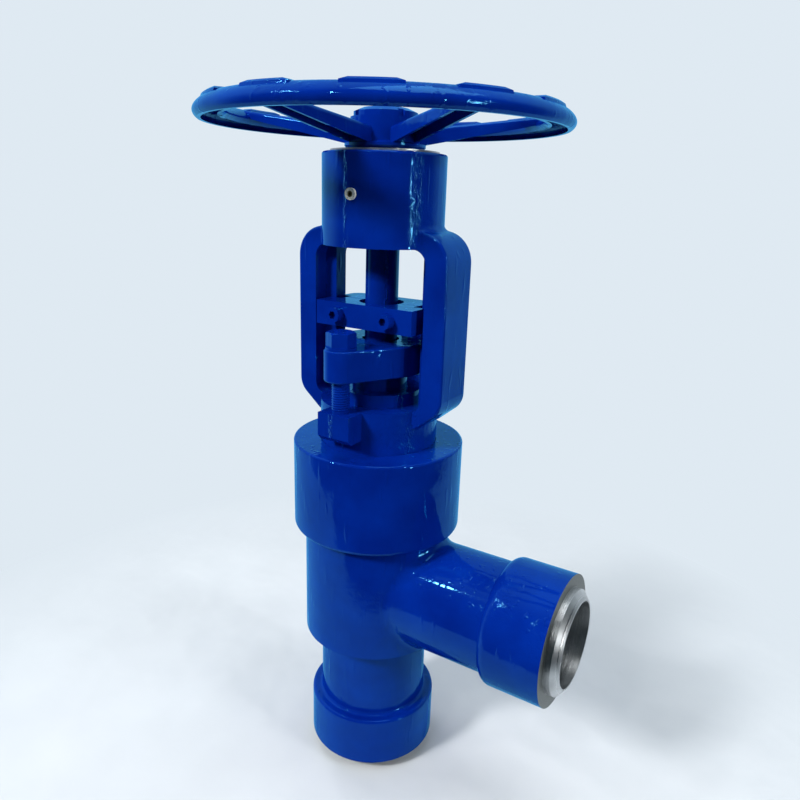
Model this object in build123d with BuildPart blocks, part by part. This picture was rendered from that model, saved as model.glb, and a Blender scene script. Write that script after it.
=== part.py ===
"""Angle globe valve, DN 80, butt-weld ends, bolted gland, outside screw and yoke.

Millimetres. +Z up along the stem, +X along the outlet branch. The origin is the
centre of the inlet's weld face, on which the valve stands. The stem is shown
screwed down: the disc is on its seat.
"""
from build123d import *
from math import cos, hypot, radians, sin, sqrt, tan
import os

# Weld ends
pipe_outer_radius = 44.45
bore_radius = 36.0
stub_length = 10.6
weld_land = 1.6
weld_bevel_angle = 37.5
inlet_collar_radius = 59.7
inlet_collar_height = 46.5
outlet_collar_radius = 55.5
outlet_collar_length = 55.0
outlet_shoulder_radius = 9.0
outlet_face_x = 186.4
outlet_mouth_radius = 40.0
outlet_mouth_depth = 60.0

# Body
neck_radius = 50.3
neck_length = 72.9
neck_blend = 3.0
body_radius = 65.5
body_height = 107.0
branch_radius = 48.7
branch_height = 49.7
branch_blend = 11.0
top_ring_radius = 75.5
top_ring_height = 81.2
top_ring_foot_edge = 4.0
body_edge = 2.0
inlet_collar_edge = 3.0
chamber_radius = 47.0
body_bore_radius = 51.8

# Seat and disc
seat_outer_radius = 43.5
seat_bore_radius = 35.0
seat_height = 13.0
seat_sink = 2.0
seat_standing = 1.5
seat_face_width = 2.5
disc_radius = 40.0
disc_height = 38.0
disc_nose = 1.0
disc_gap = 0.15
disc_socket_depth = 24.0
disc_button_fit = 0.3
disc_nut_radius = 22.0

# Bonnet in the body
bonnet_radius = 51.5
gasket_width = 4.4
gasket_thickness = 3.0
bonnet_depth = 79.2
bonnet_neck_height = 36.4
boss_radius = 36.0
boss_height = 11.0
backseat_bush_radius = 26.0
backseat_bush_height = 23.0
backseat_lip = 0.4

# Stem and its travel
stem_radius = 14.0
stem_bore_fit = 0.4
stem_thread_fit = 0.1
packing_fit = 0.05
travel = 25.0
travel_margin = 0.3
stem_tail = 3.2
stem_button_radius = 17.0
stem_button_height = 6.0
stem_neck_radius = 12.0
stem_collar_radius = 21.0
stem_collar_height = 8.0

# Stuffing box
packing_outer_radius = 24.0
packing_ring_height = 9.0
packing_ring_count = 6
packing_ring_gap = 0.05
packing_washer_height = 5.0
stuffing_box_depth = 75.0
follower_fit = 0.15
follower_head_radius = 27.0
follower_head_height = 8.0
follower_recess = 6.0

# Gland flange and bolts
gland_gap = 16.0
gland_flange_height = 26.0
gland_flange_radius = 40.5
gland_flange_bore = 16.0
gland_flange_edge = 1.5
gland_lug_radius = 13.8
gland_bolt_offset = 57.0
gland_bolt_radius = 7.0
gland_bolt_fit = 0.8
gland_thread_fit = 0.1
gland_bolt_head = 21.5
gland_bolt_head_height = 12.0
gland_bolt_bevel = 1.9
gland_bolt_bevel_height = 1.1
gland_bolt_grip = 21.0
gland_washer_radius = 12.6
gland_washer_height = 2.0
lug_width = 31.0
lug_reach = 67.5
lug_height = 24.0
lug_bevel = 4.0

# Yoke legs and barrel
leg_outer = 72.8
leg_inner = 54.0
leg_depth = 43.0
leg_edge = 2.5
window_height = 131.5
window_bottom_corner = 10.0
window_top_corner = 12.0
leg_foot_drop = 14.4
leg_foot_rise = 3.2
leg_foot_corner = 18.0
leg_shoulder_radius = 25.0
leg_shoulder_drop = 11.4
shoulder_blend = 6.0
guide_rib_reach = 43.6
guide_rib_width = 12.0
guide_rib_draft = 1.5
barrel_radius = 50.5
barrel_height = 71.7
barrel_edge = 2.0
barrel_web = 16.0
barrel_bore_radius = 38.0

# Stem nut and its roller thrust bearings
nut_body_radius = 23.0
nut_flange_radius = 34.0
nut_flange_height = 14.0
nut_spigot = 12.0
nut_thread_radius = 18.0
running_fit = 0.3
washer_bore_radius = 23.05
washer_wide_bore_radius = 24.5
washer_outer_radius = 36.5
washer_wide_outer_radius = 37.8
bearing_washer_height = 4.0
roller_radius = 2.5
roller_play = 0.02
roller_length = 8.0
roller_count = 12
roller_pitch_radius = 30.5
cage_height = 3.0
cage_play = 0.2
cage_inner_radius = 25.0
cage_outer_radius = 36.0
retainer_radius = 37.9
retainer_lip_height = 1.8
retainer_lip_radius = 44.0
seal_outer_radius = 29.0
seal_height = 8.0
seal_fit = 0.05
wheel_seat_radius = 20.0

# Handwheel
hub_gap = 1.3
hub_height = 23.2
hub_radius = 28.0
hub_foot_radius = 32.5
hub_foot_height = 3.6
hub_edge = 1.5
hub_fit = 0.05
wheel_nut_radius = 25.5
wheel_nut_height = 7.0
wheel_nut_bevel_width = 7.0
wheel_nut_bevel_height = 3.0
wheel_nut_slot_width = 5.5
wheel_nut_slot_depth = 3.0
wheel_nut_slots = 4
wheel_nut_slot_phase = 62.0
key_width = 6.0
key_depth = 2.5
key_length = 18.0
key_fit = 0.05
rim_crown_radius = 134.6
rim_outer_lip_radius = 144.4
rim_bulge_radius = 147.4
rim_shoulder_radius = 141.5
rim_inner_lip_radius = 126.2
rim_throat_radius = 123.3
rim_inner_shoulder_radius = 127.7
rim_wall = 3.0
rim_shoulder_slope = 37.0
rim_lip_lift = 16.2
rim_inner_lip_lift = 19.3
rim_bulge_lift = 22.0
rim_throat_lift = 24.0
rim_shoulder_lift = 29.0
rim_crown_lift = 31.3
pad_count = 12
pad_arc = 16.5
pad_height = 1.4
pad_ramp = 4.5
pad_half_width = 7.5
pad_bevel = 1.5
pad_phase = -90.1
spoke_count = 5
spoke_width = 20.5
spoke_wall = 2.6
spoke_end_wall = 0.8
spoke_rim_sink = 6.7
spoke_phase = -27.6
spoke_root_lift = 2.9
spoke_root_depth = 13.0
spoke_tip_lift = 24.6
spoke_tip_depth = 5.8
spoke_edge = 3.0

# Guide plate clamped on the stem
plate_half_length = 47.5
plate_front = 28.5
plate_back = 31.0
plate_height = 20.2
plate_clearance = 11.4
plate_corner = 10.0
plate_notch_depth = 11.0
plate_notch_fit = 0.6
plate_split = 1.0
plate_recess_radius = 19.0
plate_recess_depth = 5.5
clamp_fit = 0.02
screw_offset = 25.0
screw_radius = 4.0
screw_fit = 0.05
screw_head_radius = 6.5
screw_head_height = 8.0
screw_socket_width = 6.0
screw_socket_depth = 4.5
screw_length = 50.0

# Small fittings on the barrel
nipple_drop = 31.7
nipple_angle = -85.8
nipple_radius = 4.5
nipple_standout = 2.2
nipple_shank_radius = 3.0
nipple_shank = 10.0
nipple_mouth_radius = 1.5
nipple_mouth_depth = 2.0
grease_hole_radius = 1.5
grub_drop = 9.0
grub_angle = 150.0
grub_radius = 3.0
grub_length = 8.0
grub_socket_width = 3.0
grub_socket_depth = 3.0
fitting_fit = 0.05

# Heights and places worked out from the sizes above
inlet_collar_top = stub_length + inlet_collar_height
body_bottom = inlet_collar_top + neck_length
branch_z = body_bottom + branch_height
top_ring_bottom = body_bottom + body_height
body_top = top_ring_bottom + top_ring_height
seat_bottom = body_bottom - seat_sink
seat_top = seat_bottom + seat_height
bonnet_bottom = body_top - bonnet_depth
gasket_bottom = bonnet_bottom - gasket_thickness
bonnet_shelf = body_top + bonnet_neck_height
boss_top = bonnet_shelf + boss_height
box_floor = boss_top - stuffing_box_depth
packing_bottom = box_floor + packing_washer_height
packing_top = packing_bottom + packing_ring_count * packing_ring_height
flange_bottom = boss_top + gland_gap
flange_top = flange_bottom + gland_flange_height
bolt_head_bottom = flange_top + gland_washer_height
window_top = bonnet_shelf + window_height
barrel_top = window_top + barrel_height
plate_bottom = flange_top + plate_clearance
plate_top = plate_bottom + plate_height
lower_bearing_bottom = window_top + barrel_web
bearing_height = 2 * bearing_washer_height + 2 * roller_radius
nut_flange_bottom = lower_bearing_bottom + bearing_height
nut_flange_top = nut_flange_bottom + nut_flange_height
upper_bearing_top = nut_flange_top + bearing_height
retainer_top = barrel_top + retainer_lip_height
hub_bottom = retainer_top + hub_gap
hub_top = hub_bottom + hub_height
wheel_nut_top = hub_top + wheel_nut_height
stem_top = wheel_nut_top - stem_tail
outlet_end_x = outlet_face_x + stub_length
bevel_length = (pipe_outer_radius - bore_radius - weld_land) * tan(radians(weld_bevel_angle))
backseat_height = stem_collar_radius - stem_radius
stem_collar_top = bonnet_bottom - travel - travel_margin
disc_bottom = seat_top - seat_face_width - disc_nose + disc_gap
disc_top = disc_bottom + disc_height
socket_floor = disc_top - disc_socket_depth
button_top = socket_floor + stem_button_height
spoke_run = rim_throat_radius + spoke_rim_sink


def radial_plane(angle):
    """Upright plane through the stem axis: its x is the distance from the axis, its y the height."""
    turn = radians(angle)
    return Plane(origin=(0, 0, 0), x_dir=(cos(turn), sin(turn), 0), z_dir=(sin(turn), -cos(turn), 0))


def outward_plane(angle, reach, height):
    """Plane square to a radius of the stem axis, facing outwards."""
    turn = radians(angle)
    outwards = (cos(turn), sin(turn), 0)
    origin = (reach * outwards[0], reach * outwards[1], height)
    return Plane(origin=origin, x_dir=(0, 0, 1), z_dir=outwards)


def circles_at(piece, height, radius):
    """Round edges of a piece about the stem axis, at one height and radius."""
    return [
        edge
        for edge in piece.edges().filter_by(GeomType.CIRCLE)
        if abs(edge.radius - radius) < 0.01
        and abs(edge.arc_center.Z - height) < 0.01
        and hypot(edge.arc_center.X, edge.arc_center.Y) < 0.01
    ]


def save(piece, label):
    """Name a finished piece and write its STEP file."""
    piece.part.label = label
    export_step(piece.part, f"parts/{label}.step")


os.makedirs("parts", exist_ok=True)

# Valve body: casting with its inlet neck, outlet branch and two weld ends
outlet_axis = Axis((0, 0, branch_z), (1, 0, 0))
shoulder_x = outlet_face_x - outlet_collar_length
shoulder_sink = outlet_shoulder_radius - (outlet_collar_radius - branch_radius)
shoulder_end_x = shoulder_x + sqrt(outlet_shoulder_radius**2 - shoulder_sink**2)
shoulder_turn = 45.0
shoulder_middle = (
    shoulder_end_x - outlet_shoulder_radius * sin(radians(shoulder_turn)),
    branch_z + outlet_collar_radius - outlet_shoulder_radius * (1 - cos(radians(shoulder_turn))),
)
with BuildPart() as valve_body:
    with BuildSketch(Plane.XY.offset(inlet_collar_top)):
        Circle(body_radius)
    extrude(amount=body_top - inlet_collar_top)
    with BuildSketch(Plane.XZ):
        with BuildLine():
            Polyline(
                (0, branch_z),
                (0, branch_z + branch_radius),
                (shoulder_x, branch_z + branch_radius),
            )
            ThreePointArc(
                (shoulder_x, branch_z + branch_radius),
                shoulder_middle,
                (shoulder_end_x, branch_z + outlet_collar_radius),
            )
            Polyline(
                (shoulder_end_x, branch_z + outlet_collar_radius),
                (outlet_face_x, branch_z + outlet_collar_radius),
                (outlet_face_x, branch_z + pipe_outer_radius),
                (outlet_end_x - bevel_length, branch_z + pipe_outer_radius),
                (outlet_end_x, branch_z + bore_radius + weld_land),
                (outlet_end_x, branch_z),
                (0, branch_z),
            )
        make_face()
    revolve(axis=outlet_axis)
    crossing = [
        edge
        for edge in valve_body.edges()
        if edge.geom_type not in (GeomType.CIRCLE, GeomType.LINE) and edge.center().X > 0
    ]
    fillet(crossing, radius=branch_blend)
    # The underside of the body is level, so the blend stops there
    with BuildSketch(Plane.XY.offset(body_bottom)):
        Circle(shoulder_x)
    extrude(amount=-neck_length, mode=Mode.SUBTRACT)
    with BuildSketch(Plane.XZ):
        with BuildLine():
            Polyline(
                (0, 0),
                (bore_radius + weld_land, 0),
                (pipe_outer_radius, bevel_length),
                (pipe_outer_radius, stub_length),
                (inlet_collar_radius, stub_length),
                (inlet_collar_radius, inlet_collar_top),
                (neck_radius, inlet_collar_top),
                (neck_radius, seat_top),
                (0, seat_top),
                (0, 0),
            )
        make_face()
    revolve(axis=Axis.Z)
    with BuildSketch(Plane.XY.offset(top_ring_bottom)):
        Circle(top_ring_radius)
    extrude(amount=top_ring_height)
    fillet(circles_at(valve_body, inlet_collar_top, neck_radius), radius=neck_blend)
    fillet(circles_at(valve_body, inlet_collar_top, inlet_collar_radius), radius=inlet_collar_edge)
    fillet(circles_at(valve_body, top_ring_bottom, top_ring_radius), radius=top_ring_foot_edge)
    fillet(circles_at(valve_body, body_top, top_ring_radius), radius=body_edge)
    # Flow passages: inlet, seat pocket, chamber and outlet, and the bore for the bonnet
    with BuildSketch(Plane.XZ):
        with BuildLine():
            Polyline(
                (0, 0),
                (bore_radius, 0),
                (bore_radius, seat_bottom),
                (seat_outer_radius, seat_bottom),
                (seat_outer_radius, seat_top - seat_standing),
                (chamber_radius, seat_top - seat_standing),
                (chamber_radius, gasket_bottom),
                (body_bore_radius, gasket_bottom),
                (body_bore_radius, body_top),
                (0, body_top),
                (0, 0),
            )
        make_face()
    revolve(axis=Axis.Z, mode=Mode.SUBTRACT)
    with BuildSketch(Plane(origin=(0, 0, branch_z), x_dir=(0, 1, 0), z_dir=(1, 0, 0))):
        Circle(bore_radius)
    extrude(amount=outlet_end_x, mode=Mode.SUBTRACT)
    with BuildSketch(Plane(origin=(0, 0, branch_z), x_dir=(0, 1, 0), z_dir=(1, 0, 0))):
        Circle(outlet_mouth_radius)
    extrude(amount=outlet_mouth_depth, mode=Mode.SUBTRACT)
save(valve_body, "valve_body")

# Seat ring in the body, its cone facing up
with BuildPart() as seat_ring:
    with BuildSketch(Plane.XZ):
        with BuildLine():
            Polyline(
                (seat_bore_radius, seat_bottom),
                (seat_outer_radius, seat_bottom),
                (seat_outer_radius, seat_top),
                (seat_bore_radius + seat_face_width, seat_top),
                (seat_bore_radius, seat_top - seat_face_width),
                (seat_bore_radius, seat_bottom),
            )
        make_face()
    revolve(axis=Axis.Z)
save(seat_ring, "seat_ring")

# Gasket under the bonnet
with BuildPart() as bonnet_gasket:
    with BuildSketch(Plane.XY.offset(gasket_bottom)):
        Circle(bonnet_radius)
        Circle(bonnet_radius - gasket_width, mode=Mode.SUBTRACT)
    extrude(amount=gasket_thickness)
save(bonnet_gasket, "bonnet_gasket")

# Yoke and bonnet: one casting, from the plug in the body up to the bearing barrel
foot_z = bonnet_shelf - leg_foot_drop
foot_corner = (leg_outer, bonnet_shelf + leg_foot_rise)
shoulder_z = window_top - leg_shoulder_drop
shoulder_centre_x = leg_outer - leg_shoulder_radius
shoulder_top = (shoulder_centre_x, shoulder_z + leg_shoulder_radius)
shoulder_middle = (
    shoulder_centre_x + leg_shoulder_radius * cos(radians(45)),
    shoulder_z + leg_shoulder_radius * sin(radians(45)),
)
window_middle = (bonnet_shelf + window_top) / 2
stem_hole_radius = stem_radius + stem_bore_fit
nipple_plane = outward_plane(nipple_angle, barrel_radius - nipple_shank, barrel_top - nipple_drop)
with BuildPart() as yoke:
    # Both legs as one loop, with the window between them
    with BuildSketch(Plane.XZ):
        with BuildLine():
            Polyline((0, foot_z), (bonnet_radius, foot_z), foot_corner, (leg_outer, shoulder_z))
            ThreePointArc((leg_outer, shoulder_z), shoulder_middle, shoulder_top)
            Polyline(shoulder_top, (0, shoulder_top[1]), (0, foot_z))
        make_face()
        fillet([v for v in vertices() if abs(v.Y - foot_corner[1]) < 0.01], radius=leg_foot_corner)
        mirror(about=Plane.YZ)
    extrude(amount=leg_depth / 2, both=True)
    with BuildSketch(Plane.XZ):
        with Locations((0, window_middle)):
            Rectangle(2 * leg_inner, window_height)
        fillet([v for v in vertices() if v.Y < window_middle], radius=window_bottom_corner)
        fillet([v for v in vertices() if v.Y > window_middle], radius=window_top_corner)
    extrude(amount=leg_depth, both=True, mode=Mode.SUBTRACT)
    outer_edges = [
        edge
        for edge in yoke.edges()
        if abs(abs(edge.center().Y) - leg_depth / 2) < 0.01 and abs(edge.center().X) > leg_inner + 1
    ]
    fillet(outer_edges, radius=leg_edge)
    # Bearing barrel, and the round bonnet below the window
    with BuildSketch(Plane.XY.offset(window_top)):
        Circle(barrel_radius)
    extrude(amount=barrel_height)
    with BuildSketch(Plane.XY.offset(bonnet_bottom)):
        Circle(bonnet_radius)
    extrude(amount=bonnet_shelf - bonnet_bottom)
    # Lugs that take the gland bolts, front and back
    with BuildSketch(Plane.XY.offset(bonnet_shelf - lug_height)):
        Rectangle(lug_width, 2 * lug_reach)
    extrude(amount=lug_height)
    lug_ends = [
        edge
        for edge in yoke.edges().filter_by(Axis.X)
        if abs(abs(edge.center().Y) - lug_reach) < 0.01
        and edge.center().Z < bonnet_shelf - lug_height / 2
    ]
    chamfer(lug_ends, length=lug_bevel)
    # Stuffing box boss, and the ribs that guide the plate
    with BuildSketch(Plane.XY.offset(bonnet_shelf)):
        Circle(boss_radius)
    extrude(amount=boss_height)
    rib_root = guide_rib_width / 2 + guide_rib_draft
    with BuildSketch(Plane.XY.offset(bonnet_shelf)):
        for side in (-1, 1):
            with BuildLine():
                Polyline(
                    (side * (leg_inner + leg_edge), -rib_root),
                    (side * guide_rib_reach, -guide_rib_width / 2),
                    (side * guide_rib_reach, guide_rib_width / 2),
                    (side * (leg_inner + leg_edge), rib_root),
                    close=True,
                )
            make_face()
    extrude(amount=window_height)
    top_edge = circles_at(yoke, barrel_top, barrel_radius)
    fillet(top_edge, radius=barrel_edge)
    # Bores: barrel, its web, stuffing box, stem hole and backseat pocket
    with BuildSketch(Plane.XZ):
        with BuildLine():
            Polyline(
                (0, lower_bearing_bottom),
                (barrel_bore_radius, lower_bearing_bottom),
                (barrel_bore_radius, barrel_top),
                (0, barrel_top),
                (0, lower_bearing_bottom),
            )
        make_face()
    revolve(axis=Axis.Z, mode=Mode.SUBTRACT)
    with BuildSketch(Plane.XY.offset(window_top)):
        Circle(nut_body_radius + running_fit)
    extrude(amount=barrel_web, mode=Mode.SUBTRACT)
    with BuildSketch(Plane.XZ):
        with BuildLine():
            Polyline(
                (0, bonnet_bottom),
                (backseat_bush_radius + fitting_fit, bonnet_bottom),
                (backseat_bush_radius + fitting_fit, bonnet_bottom + backseat_bush_height),
                (stem_hole_radius, bonnet_bottom + backseat_bush_height),
                (stem_hole_radius, box_floor),
                (packing_outer_radius, box_floor),
                (packing_outer_radius, boss_top),
                (0, boss_top),
                (0, bonnet_bottom),
            )
        make_face()
    revolve(axis=Axis.Z, mode=Mode.SUBTRACT)
    # Tapped holes: gland bolts, grease nipple and retainer screw
    with BuildSketch(Plane.XY.offset(bonnet_shelf)):
        with Locations((0, -gland_bolt_offset), (0, gland_bolt_offset)):
            Circle(gland_bolt_radius + gland_thread_fit)
    extrude(amount=-(gland_bolt_grip + gland_bolt_fit), mode=Mode.SUBTRACT)
    with BuildSketch(nipple_plane):
        Circle(nipple_shank_radius + fitting_fit)
    extrude(amount=2 * nipple_shank, mode=Mode.SUBTRACT)
    with BuildSketch(outward_plane(nipple_angle, 0, barrel_top - nipple_drop)):
        Circle(grease_hole_radius)
    extrude(amount=barrel_radius, mode=Mode.SUBTRACT)
    with BuildSketch(outward_plane(grub_angle, barrel_bore_radius - 1, barrel_top - grub_drop)):
        Circle(grub_radius + fitting_fit)
    extrude(amount=barrel_radius, mode=Mode.SUBTRACT)
    # Soft corner where each leg runs up into the barrel
    barrel_wall = [
        face
        for face in yoke.faces().filter_by(GeomType.CYLINDER)
        if abs(face.bounding_box().max.Z - barrel_top + barrel_edge) < 0.01
        and face.bounding_box().max.X > barrel_bore_radius
    ]
    leg_roots = [
        edge
        for face in barrel_wall
        for edge in face.edges()
        if window_top + 1 < edge.bounding_box().max.Z < shoulder_top[1] + 3
        and abs(edge.center().X) > barrel_bore_radius
    ]
    fillet(leg_roots, radius=shoulder_blend)
save(yoke, "yoke")

# Backseat bush in the foot of the bonnet: the stem's collar shuts against its cone when fully open
with BuildPart() as backseat_bush:
    with BuildSketch(Plane.XZ):
        with BuildLine():
            Polyline(
                (stem_collar_radius + backseat_lip, bonnet_bottom),
                (backseat_bush_radius, bonnet_bottom),
                (backseat_bush_radius, bonnet_bottom + backseat_bush_height),
                (stem_hole_radius, bonnet_bottom + backseat_bush_height),
                (stem_hole_radius, bonnet_bottom + stem_collar_radius + backseat_lip - stem_hole_radius),
                (stem_collar_radius + backseat_lip, bonnet_bottom),
            )
        make_face()
    revolve(axis=Axis.Z)
save(backseat_bush, "backseat_bush")

# Stem: top end in the stem nut, backseat collar, and a button that carries the disc
with BuildPart() as stem:
    with BuildSketch(Plane.XZ):
        with BuildLine():
            Polyline(
                (0, socket_floor),
                (stem_button_radius, socket_floor),
                (stem_button_radius, button_top),
                (stem_neck_radius, button_top),
                (stem_neck_radius, disc_top + stem_tail),
                (stem_radius, disc_top + stem_tail),
                (stem_radius, stem_collar_top - stem_collar_height),
                (stem_collar_radius, stem_collar_top - stem_collar_height),
                (stem_collar_radius, stem_collar_top),
                (stem_radius, stem_collar_top + backseat_height),
                (stem_radius, stem_top - stem_tail),
                (stem_radius - stem_tail, stem_top),
                (0, stem_top),
                (0, socket_floor),
            )
        make_face()
    revolve(axis=Axis.Z)
save(stem, "stem")

# Disc with its conical seating face
with BuildPart() as disc:
    with BuildSketch(Plane.XZ):
        with BuildLine():
            Polyline(
                (0, disc_bottom),
                (seat_bore_radius - disc_nose, disc_bottom),
                (disc_radius, disc_bottom + disc_radius - seat_bore_radius + disc_nose),
                (disc_radius, disc_top),
                (disc_nut_radius, disc_top),
                (disc_nut_radius, button_top + disc_button_fit),
                (stem_button_radius + disc_button_fit, button_top + disc_button_fit),
                (stem_button_radius + disc_button_fit, socket_floor),
                (0, socket_floor),
                (0, disc_bottom),
            )
        make_face()
    revolve(axis=Axis.Z)
save(disc, "disc")

# Nut that holds the stem's button in the disc
with BuildPart() as disc_nut:
    with BuildSketch(Plane.XY.offset(button_top + disc_button_fit)):
        Circle(disc_nut_radius - fitting_fit)
        Circle(stem_neck_radius + disc_button_fit, mode=Mode.SUBTRACT)
    extrude(amount=disc_top - button_top - disc_button_fit)
save(disc_nut, "disc_nut")

# Stuffing box: washer at the bottom, then the packing rings
with BuildPart() as packing_washer:
    with BuildSketch(Plane.XY.offset(box_floor)):
        Circle(packing_outer_radius - fitting_fit)
        Circle(stem_radius + stem_bore_fit, mode=Mode.SUBTRACT)
    extrude(amount=packing_washer_height)
save(packing_washer, "packing_washer")

with BuildPart() as packing_rings:
    for ring in range(packing_ring_count):
        with BuildSketch(Plane.XY.offset(packing_bottom + ring * packing_ring_height)):
            Circle(packing_outer_radius - fitting_fit)
            Circle(stem_radius + packing_fit, mode=Mode.SUBTRACT)
        extrude(amount=packing_ring_height - packing_ring_gap)
save(packing_rings, "packing_rings")

# Gland follower: presses the packing, its head sits in a recess under the flange
follower_top = flange_bottom + follower_recess
with BuildPart() as gland_follower:
    with BuildSketch(Plane.XZ):
        with BuildLine():
            Polyline(
                (stem_hole_radius, packing_top),
                (packing_outer_radius - follower_fit, packing_top),
                (packing_outer_radius - follower_fit, follower_top - follower_head_height),
                (follower_head_radius, follower_top - follower_head_height),
                (follower_head_radius, follower_top),
                (stem_hole_radius, follower_top),
                (stem_hole_radius, packing_top),
            )
        make_face()
    revolve(axis=Axis.Z)
save(gland_follower, "gland_follower")

# Gland flange: thick plate, round about the stem and about each bolt
with BuildPart() as gland_flange:
    with BuildSketch(Plane.XY.offset(flange_bottom)):
        Circle(gland_flange_radius)
        with Locations((0, -gland_bolt_offset), (0, gland_bolt_offset)):
            Circle(gland_lug_radius)
        make_hull()
    extrude(amount=gland_flange_height)
    rims = gland_flange.edges().filter_by(Plane.XY)
    fillet(rims, radius=gland_flange_edge)
    with BuildSketch(Plane.XY.offset(flange_bottom)):
        Circle(gland_flange_bore)
        with Locations((0, -gland_bolt_offset), (0, gland_bolt_offset)):
            Circle(gland_bolt_radius + gland_bolt_fit)
    extrude(amount=gland_flange_height, mode=Mode.SUBTRACT)
    with BuildSketch(Plane.XY.offset(flange_bottom)):
        Circle(follower_head_radius + fitting_fit)
    extrude(amount=follower_recess, mode=Mode.SUBTRACT)
save(gland_flange, "gland_flange")

# Gland bolts and their washers
bolt_length = bolt_head_bottom - bonnet_shelf + gland_bolt_grip
head_round = gland_bolt_head / 2 / cos(radians(30))
with BuildPart() as gland_bolts:
    with BuildSketch(Plane.XY.offset(bolt_head_bottom)):
        with Locations((0, -gland_bolt_offset), (0, gland_bolt_offset)):
            RegularPolygon(radius=head_round, side_count=6, rotation=30)
    extrude(amount=gland_bolt_head_height)
    with BuildSketch(Plane.XY.offset(bolt_head_bottom)):
        with Locations((0, -gland_bolt_offset), (0, gland_bolt_offset)):
            Circle(gland_bolt_radius)
    extrude(amount=-bolt_length)
    # The top corners of each head are turned off
    for side in (-1, 1):
        bolt_y = side * gland_bolt_offset
        with BuildSketch(Plane.XZ.offset(-bolt_y)):
            with BuildLine():
                Polyline(
                    (head_round - gland_bolt_bevel, bolt_head_bottom + gland_bolt_head_height),
                    (head_round, bolt_head_bottom + gland_bolt_head_height),
                    (head_round, bolt_head_bottom + gland_bolt_head_height - gland_bolt_bevel_height),
                    close=True,
                )
            make_face()
        revolve(axis=Axis((0, bolt_y, 0), (0, 0, 1)), mode=Mode.SUBTRACT)
save(gland_bolts, "gland_bolts")

with BuildPart() as gland_washers:
    with BuildSketch(Plane.XY.offset(flange_top)):
        with Locations((0, -gland_bolt_offset), (0, gland_bolt_offset)):
            Circle(gland_washer_radius)
            Circle(gland_bolt_radius + fitting_fit, mode=Mode.SUBTRACT)
    extrude(amount=gland_washer_height)
save(gland_washers, "gland_washers")

# Guide plate in two halves, clamped on the stem and notched for the ribs on the legs
screw_z = (plate_bottom + plate_top) / 2
notch_x = plate_half_length - plate_notch_depth
notch_half_width = guide_rib_width / 2 + guide_rib_draft + plate_notch_fit
clamp_bore_radius = stem_radius + clamp_fit
thread_end_y = screw_length - plate_front
plate_middle_y = plate_split / 2
with BuildPart() as guide_plate:
    with BuildSketch(Plane.XY.offset(plate_bottom)):
        with Locations((0, -(plate_front + plate_middle_y) / 2)):
            Rectangle(2 * plate_half_length, plate_front - plate_middle_y)
        Circle(clamp_bore_radius, mode=Mode.SUBTRACT)
        with Locations((-plate_half_length, 0), (plate_half_length, 0)):
            Rectangle(2 * plate_notch_depth, 2 * notch_half_width, mode=Mode.SUBTRACT)
    extrude(amount=plate_height)
    with BuildSketch(Plane.XY.offset(plate_top)):
        Circle(plate_recess_radius)
    extrude(amount=-plate_recess_depth, mode=Mode.SUBTRACT)
    with BuildSketch(Plane.XZ):
        with Locations((-screw_offset, screw_z), (screw_offset, screw_z)):
            Circle(screw_radius + screw_fit)
    extrude(amount=plate_front, mode=Mode.SUBTRACT)
save(guide_plate, "guide_plate")

with BuildPart() as guide_clamp:
    with BuildSketch(Plane.XY.offset(plate_bottom)):
        with Locations((0, (plate_back + plate_middle_y) / 2)):
            Rectangle(2 * plate_half_length, plate_back - plate_middle_y)
        fillet([v for v in vertices() if v.Y > plate_back / 2], radius=plate_corner)
        Circle(clamp_bore_radius, mode=Mode.SUBTRACT)
        with Locations((-plate_half_length, 0), (plate_half_length, 0)):
            Rectangle(2 * plate_notch_depth, 2 * notch_half_width, mode=Mode.SUBTRACT)
    extrude(amount=plate_height)
    with BuildSketch(Plane.XY.offset(plate_top)):
        Circle(plate_recess_radius)
    extrude(amount=-plate_recess_depth, mode=Mode.SUBTRACT)
    with BuildSketch(Plane.XZ):
        with Locations((-screw_offset, screw_z), (screw_offset, screw_z)):
            Circle(screw_radius + screw_fit)
    extrude(amount=-(thread_end_y + plate_split), mode=Mode.SUBTRACT)
save(guide_clamp, "guide_clamp")

# Socket-head screws that pull the two halves together
with BuildPart() as clamp_screws:
    with BuildSketch(Plane.XZ.offset(plate_front)):
        with Locations((-screw_offset, screw_z), (screw_offset, screw_z)):
            Circle(screw_radius)
    extrude(amount=-screw_length)
    with BuildSketch(Plane.XZ.offset(plate_front)):
        with Locations((-screw_offset, screw_z), (screw_offset, screw_z)):
            Circle(screw_head_radius)
    extrude(amount=screw_head_height)
    with BuildSketch(Plane.XZ.offset(plate_front + screw_head_height)):
        with Locations((-screw_offset, screw_z), (screw_offset, screw_z)):
            RegularPolygon(radius=screw_socket_width / 2, side_count=6, major_radius=False)
    extrude(amount=-screw_socket_depth, mode=Mode.SUBTRACT)
save(clamp_screws, "clamp_screws")

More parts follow.
